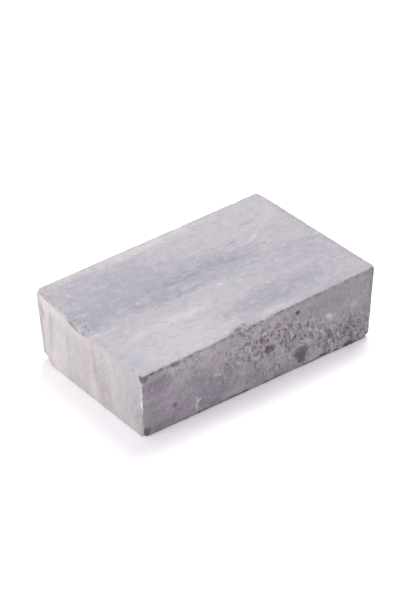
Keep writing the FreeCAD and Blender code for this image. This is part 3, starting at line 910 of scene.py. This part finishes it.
class StoneSurface(Graph):
    """The colour and relief of one kind of face, laid down step by step in its material's nodes."""

    def __init__(self, tree, face, finish, groups):
        super().__init__(tree)
        self.face, self.finish, self.groups = face, finish, groups
        self.place = self.scaled(self.add("TexCoord").outputs["Object"], 1 / MM)
        self.value = {
            label: self.add("Attribute", attribute_name=label).outputs["Fac"]
            for label in ("chip", "arris", "torn", "crest")
        }
        wander = {"Wander": finish["wander"], "Size": finish["wander_size"], "Detail": 5.0}
        self.broad = self.effect("ragged place", wander)[0]
        self.cloud = self.noise(self.place, finish["cloud_size"], detail=5.0, roughness=0.65)
        self.grit = self.effect("grit", {
            "Grain": finish["grain"], "Pore": finish["pore"], "Pore depth": finish["pore_depth"],
        })
        # The arris wear paints a pale rim that is partly worn stone and partly a painted highlight.
        wear = {"Arris": self.value["arris"], "Size": 1.6, "Amount": finish["wear"]}
        self.wear = self.effect("arris wear", wear)[0]

    def effect(self, name, inputs):
        """The outputs of a shared group. Its Place is the plain place, unless another is given."""
        return self.group(self.groups[name], {"Place": self.place, **inputs})

    def cover(self, colour, value, levels, strength, shade):
        """A wash whose strength and shade are named in the finish."""
        return self.wash(colour, value, levels, self.finish[strength], self.finish[shade])

    def lenses(self, colour, lenses, place, break_up):
        """Lenses of colour, laid one over another."""
        for lens in lenses:
            inputs = {"Place": place, "Break-up": break_up, **lens_inputs(self.face, lens)}
            colour = self.blend(self.effect("soft lens", inputs)[0], colour, tint(*lens[6]))
        return colour

    def banding(self, ground, lenses):
        """The stone's colour: ground, lenses, bed streaks, clouds and patches of hue. Some lenses are painted
        shade along the foot.
        """
        finish = self.finish
        fine = self.noise(self.place, finish["break_size"], detail=4.0, roughness=0.65)
        break_up = self.math("MULTIPLY", self.math("SUBTRACT", fine, 0.5), finish["break_up"])
        colour = self.lenses(ground, lenses, self.broad, break_up)
        streaks = {"Place": self.broad, "Size": finish["bed_size"], "Detail": 5.0, "Roughness": 0.62}
        streaks = self.effect("beds", streaks)[0]
        colour = self.cover(colour, streaks, DARK_BEDS, "bed_contrast", "dark_bed")
        colour = self.cover(colour, streaks, PALE_BEDS, "bed_contrast", "pale_bed")
        colour = self.cover(colour, self.cloud, PALE_CLOUDS, "mottle", "pale_mottle")
        colour = self.cover(colour, self.cloud, DARK_CLOUDS, "mottle", "dark_mottle")
        patches = self.effect("tint patches", {"Place": self.broad, "Size": finish["patch_size"]})
        for mask, (shade, strength) in zip(patches, finish["patches"]):
            colour = self.blend(self.math("MULTIPLY", mask, strength), colour, shade)
        return colour

    def flecks(self, colour):
        """Mineral flecks, more or fewer of them on torn rock, in chips and at the arrises."""
        for i, (size, turn, level, shade, (amount, *shares)) in enumerate(self.finish["flecks"]):
            mask = self.effect("mineral flecks", {
                "Size": size, "Turn": turn_about(self.face, turn), "Level": level, "Soft": 0.07,
                "Shift": FLECK_SHIFT * i,
            })[0]
            for label, share in zip(("torn", "chip", "arris"), shares):
                if share:
                    more = self.math("MULTIPLY", self.value[label], share)
                    amount = self.math("ADD", more, amount, clamp=True)
            colour = self.blend(self.math("MULTIPLY", mask, amount), colour, shade)
        return colour

    def breakage(self, colour, spots):
        """Fresh stone in the chips, worn stone with a painted highlight on the arrises, and the single spots.
        """
        chipped = self.math("MULTIPLY", self.value["chip"], self.finish["chip"])
        chipped = self.math("MULTIPLY", chipped, self.stretch(self.cloud, *FRESH_STONE, to_low=0.4))
        colour = self.blend(chipped, colour, self.finish["chip_colour"])
        # Pale rim along the arrises: worn stone with a painted highlight.
        colour = self.blend(self.wear, colour, self.finish["wear_colour"])
        ragged = self.effect("ragged place", {"Wander": 2.4, "Size": (1.5, 1.5, 1.5), "Detail": 4.0})[0]
        return self.lenses(colour, spots, ragged, 0.0)

    def grain(self, colour):
        """Pale and dark grain, pores, and on the split front painted light on the crests and painted shade in
        the gaps between them.
        """
        colour = self.cover(colour, self.grit["Grain"], PALE_GRAIN, "grain_shade", "pale_grain")
        colour = self.cover(colour, self.grit["Grain"], DARK_GRAIN, "grain_shade", "dark_grain")
        pores = self.math("MULTIPLY", self.grit["Pores"], self.finish["pore_shade"])
        colour = self.blend(pores, colour, self.finish["pore_colour"])
        # On the split front: painted light on the torn crests and painted shade in the gaps between them.
        if "crest" in self.finish:
            colour = self.cover(colour, self.value["crest"], LIT_CRESTS, "crest", "crest_colour")
            colour = self.cover(colour, self.value["crest"], SHADED_GAPS, "gap", "gap_colour")
        return colour

    def roughness(self):
        """The finish's roughness, less where the arrises are worn and more in pale clouds."""
        worn = self.math("MULTIPLY", self.wear, ROUGHNESS_CHANGE)
        clouded = self.math("MULTIPLY", self.cloud, ROUGHNESS_CHANGE)
        return self.math("ADD", self.math("SUBTRACT", self.finish["roughness"], worn), clouded, clamp=True)

    def normal(self):
        """The bump of grit and tool marks."""
        finish = self.finish
        marks = self.effect("tool marks", {"Turn": finish["mark_turn"], "Size": finish["mark_size"]})[0]
        height = self.math("ADD", self.grit["Height"], self.math("MULTIPLY", marks, finish["marks"]))
        bump = {"Strength": 0.9, "Distance": finish["relief"] * MM, "Height": height}
        return self.add("Bump", bump).outputs["Normal"]


def new_material(name):
    """An empty material, and the inputs of its shader."""
    material = bpy.data.materials.new(name)
    material.use_nodes = True
    return material, material.node_tree.nodes["Principled BSDF"].inputs


def stone_material(name, face, ground, lenses, spots, finish, groups):
    """A stone surface: the banded stone, its flecks, its breakage and its grain, over a gritty relief."""
    material, shader = new_material(name)
    surface = StoneSurface(material.node_tree, face, finish, groups)
    colour = surface.flecks(surface.banding(tint(*ground), lenses))
    colour = surface.grain(surface.breakage(colour, spots))
    surface.fill(shader["Base Color"], colour)
    surface.fill(shader["Roughness"], surface.roughness())
    surface.fill(shader["Normal"], surface.normal())
    surface.fill(shader["Specular IOR Level"], finish["shine"])
    return material


def stone_materials():
    """The finishes of the one stone, by face."""
    groups = shared_groups()
    surfaces = {
        "top": ("honed stone", "top", (200, 197, 202), TOP_LENSES, TOP_SPOTS, HONED),
        "front": ("split stone", "front", (181, 175, 181), FRONT_LENSES, FRONT_SPOTS, SPLIT),
        "near end": ("sawn near end", "end", (198, 193, 193), NEAR_END_LENSES, NEAR_END_SPOTS, SAWN_END),
        "far end": ("sawn far end", "end", (198, 193, 193), END_LENSES, FAR_END_SPOTS, SAWN_END),
        "back": ("sawn stone along the beds", "front", (197, 193, 198), BACK_LENSES, BACK_SPOTS, SAWN_BACK),
    }
    finishes = {face: stone_material(*surface, groups) for face, surface in surfaces.items()}
    return {**finishes, "base": finishes["back"]}


def put(name, data):
    """An object of the given data, in the scene."""
    placed = bpy.data.objects.new(name, data)
    bpy.context.scene.collection.objects.link(placed)
    return placed


def whetstone():
    """The stone, fitted to its solid's box, with a finish on each face."""
    points, quads, names, values = whetstone_shape()
    low, high = (np.array(corner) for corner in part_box("whetstone"))
    points = fitted(points * MM, low, high)
    mesh = bpy.data.meshes.new("whetstone_block")
    mesh.from_pydata(points, [], quads)
    finishes = stone_materials()
    order = list(dict.fromkeys(finishes.values()))
    for material in order:
        mesh.materials.append(material)
    slots = np.zeros(len(quads), int)
    for name, material in finishes.items():
        slots[names == name] = order.index(material)
    mesh.polygons.foreach_set("material_index", slots)
    mesh.polygons.foreach_set("use_smooth", np.ones(len(quads), bool))
    for label, value in values.items():
        mesh.attributes.new(label, "FLOAT", "POINT").data.foreach_set("value", value.astype(np.float32))
    mesh.update()
    stone = put("whetstone_block", mesh)
    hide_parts("whetstone")
    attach(stone, "root")


# ---------------------------------------------------------------- floor, light and camera, in metres

FLOOR_REACH = 0.8       # from the stone to each side of the floor
FLOOR_FINISH = {
    "Base Color": (0.955, 0.94, 0.96, 1.0), "Roughness": 1.0, "Specular IOR Level": 0.0,
    "Emission Color": (1.0, 0.97, 1.0, 1.0), "Emission Strength": 0.14,
}

SURROUNDINGS = (0.62, 0.592, 0.62, 1.0)  # what lights the stone from all round
BACKDROP = (1.05, 1.05, 1.05, 1.0)       # what the camera sees behind it
LIGHT_DISTANCE = 1.6
LIGHTS = [              # name, the way that it is seen from the stone, width, watts
    ("overhead", (0.33, 0.25, 0.91), 0.68, 14.8),
    ("side", (-0.92, 0.04, 0.38), 0.8, 13.8),
]

CAMERA_AZIMUTH, CAMERA_ELEVATION = math.radians(-38.16), math.radians(34.68)
CAMERA_TARGET = Vector((7.51, 12.40, 10.0)) * MM
CAMERA_DISTANCE = 0.777


def pale_floor():
    """A plain white floor under the stone."""
    r = FLOOR_REACH
    mesh = bpy.data.meshes.new("floor")
    mesh.from_pydata([(-r, -r, 0.0), (r, -r, 0.0), (r, r, 0.0), (-r, r, 0.0)], [], [(0, 1, 2, 3)])
    material, shader = new_material("white floor")
    for name, value in FLOOR_FINISH.items():
        shader[name].default_value = value
    mesh.materials.append(material)
    put("floor", mesh)


def soft_light(name, towards, size, watts):
    """A square soft light, seen from the stone along `towards`, and turned to face it."""
    direction = Vector(towards).normalized()
    data = bpy.data.lights.new(name, "AREA")
    data.shape = "SQUARE"
    data.size = size
    data.energy = watts
    light = put(name, data)
    light.location = direction * LIGHT_DISTANCE
    light.rotation_euler = direction.to_track_quat("Z", "Y").to_euler()


def studio():
    """White surroundings, a large soft light overhead and another on the side of the near end."""
    world = bpy.data.worlds.new("studio")
    world.use_nodes = True
    graph = Graph(world.node_tree)
    seen = graph.add("LightPath").outputs["Is Camera Ray"]
    background = world.node_tree.nodes["Background"].inputs
    graph.fill(background["Color"], graph.blend(seen, SURROUNDINGS, BACKDROP))
    bpy.context.scene.world = world
    for light in LIGHTS:
        soft_light(*light)
    bpy.context.scene.view_settings.view_transform = "Standard"


def camera():
    """A long lens looking down at the near end and the split front."""
    level = math.cos(CAMERA_ELEVATION)
    back = Vector((
        math.sin(CAMERA_AZIMUTH) * level, -math.cos(CAMERA_AZIMUTH) * level, math.sin(CAMERA_ELEVATION)
    ))
    data = bpy.data.cameras.new("camera")
    data.lens = 130.0
    data.sensor_width = 36.0
    data.clip_start = 0.01
    data.clip_end = 50.0
    placed = put("camera", data)
    placed.location = CAMERA_TARGET + back * CAMERA_DISTANCE
    placed.rotation_euler = back.to_track_quat("Z", "Y").to_euler()
    bpy.context.scene.camera = placed


def main():
    whetstone()
    pale_floor()
    studio()
    camera()


main()
